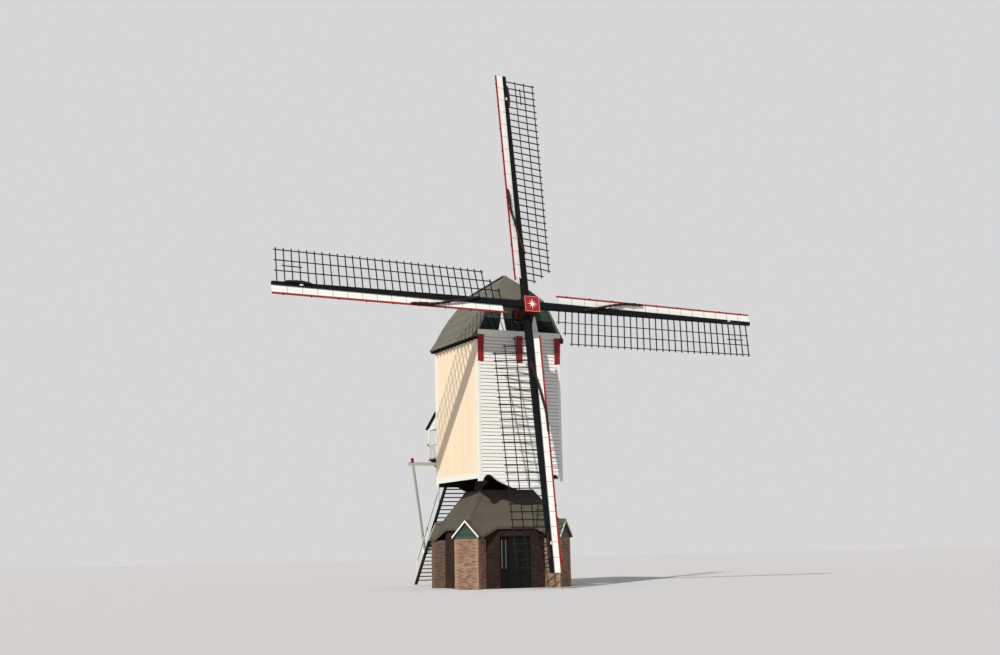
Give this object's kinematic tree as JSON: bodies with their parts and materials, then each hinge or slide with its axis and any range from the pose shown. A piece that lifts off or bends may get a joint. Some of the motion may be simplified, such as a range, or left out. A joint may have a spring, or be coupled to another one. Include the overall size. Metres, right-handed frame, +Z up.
{
  "type": "windmill",
  "caption": "Post mill: boarded body that turns on a post above a brick roundhouse, with lattice sails on a tilted shaft, rear balcony, ladder and tail pole",
  "frame": {"origin": "On the axis of the main post, at ground level", "axes": "+X to the right seen from the front, +Y to the tail, +Z up; the sails face -Y"},
  "size_m": [24.813, 15.0975, 25.1],
  "materials": {
    "brick": "matte brickwork",
    "door_dark": "satin dark paint",
    "door_trim": "satin pale green paint",
    "roof_felt": "weathered roofing felt",
    "green_boards": "dark green paint",
    "white_paint": "white paint",
    "oak": "sawn timber",
    "cream_paint": "cream paint",
    "dark_paint": "black paint",
    "body_roofing": "weathered roof covering",
    "red_paint": "red paint",
    "lattice_wood": "weathered timber",
    "brown_canvas": "furled canvas"
  },
  "bodies": {
    "roundhouse": {"brick_piers": "brick", "roundhouse_walls": "brick", "roundhouse_wall_front": "brick", "roundhouse_wall_over_door": "brick", "roundhouse_door_frame": "door_trim", "roundhouse_roof_front": "roof_felt", "roundhouse_roof_right": "roof_felt", "roundhouse_roof_back": "roof_felt", "roundhouse_roof_left": "roof_felt", "gablet_roofs": "roof_felt", "gablet_boards": "green_boards", "verge_boards": "white_paint", "crossbeam_one": "oak", "crossbeam_two": "oak", "quarter_bars": "oak", "main_post": "oak", "saddle": "oak"},
    "door_left": {"roundhouse_door_left": "door_dark"},
    "door_right": {"roundhouse_door_right": "door_dark"},
    "buck": {"sheers": "oak", "body_floor": "oak", "crown_beam": "oak", "body_side_walls": "cream_paint", "body_wall_front": "white_paint", "body_wall_rear": "white_paint", "body_door_rear": "dark_paint", "corner_boards": "white_paint", "base_boards": "white_paint", "body_roof_hip": "body_roofing", "body_roof_left": "body_roofing", "body_roof_right": "body_roofing", "gables": "green_boards", "wall_plates": "oak", "bearing_beams": "oak", "front_eave_board": "white_paint", "front_corbels": "red_paint", "gable_ornaments": "white_paint", "rafter_ends": "dark_paint", "balcony_floor": "oak", "cross_spar": "white_paint", "canopy_frame": "white_paint", "balcony_canopy": "dark_paint", "balcony_railing": "white_paint", "tail_pole": "oak", "tail_braces": "white_paint", "ladder_stringers": "dark_paint", "ladder_treads": "dark_paint", "ladder_handrails": "white_paint"},
    "rotor": {"windshaft": "dark_paint", "stock_outer": "dark_paint", "stock_inner": "dark_paint", "windboards": "white_paint", "leading_strips": "red_paint", "furled_cloths": "brown_canvas", "lattice_top": "lattice_wood", "lattice_left": "lattice_wood", "lattice_bottom": "lattice_wood", "lattice_right": "lattice_wood"}
  },
  "joints": [
    {"name": "winding", "type": "hinge", "parent": "roundhouse", "child": "buck", "pos_m": [0, 0, 0], "axis": [0, 0, 1], "continuous": true},
    {"name": "sail_rotation", "type": "hinge", "parent": "buck", "child": "rotor", "pos_m": [0, -3.815, 12.98], "axis": [0, -0.9829, 0.184], "continuous": true},
    {"name": "door_left_hinge", "type": "hinge", "parent": "roundhouse", "child": "door_left", "pos_m": [-0.96692, -2.13707, 0], "axis": [0, 0, -1], "range_deg": [0, 95]},
    {"name": "door_right_hinge", "type": "hinge", "parent": "roundhouse", "child": "door_right", "pos_m": [0.38085, -2.31451, 0], "axis": [0, 0, 1], "range_deg": [0, 95]}
  ]
}
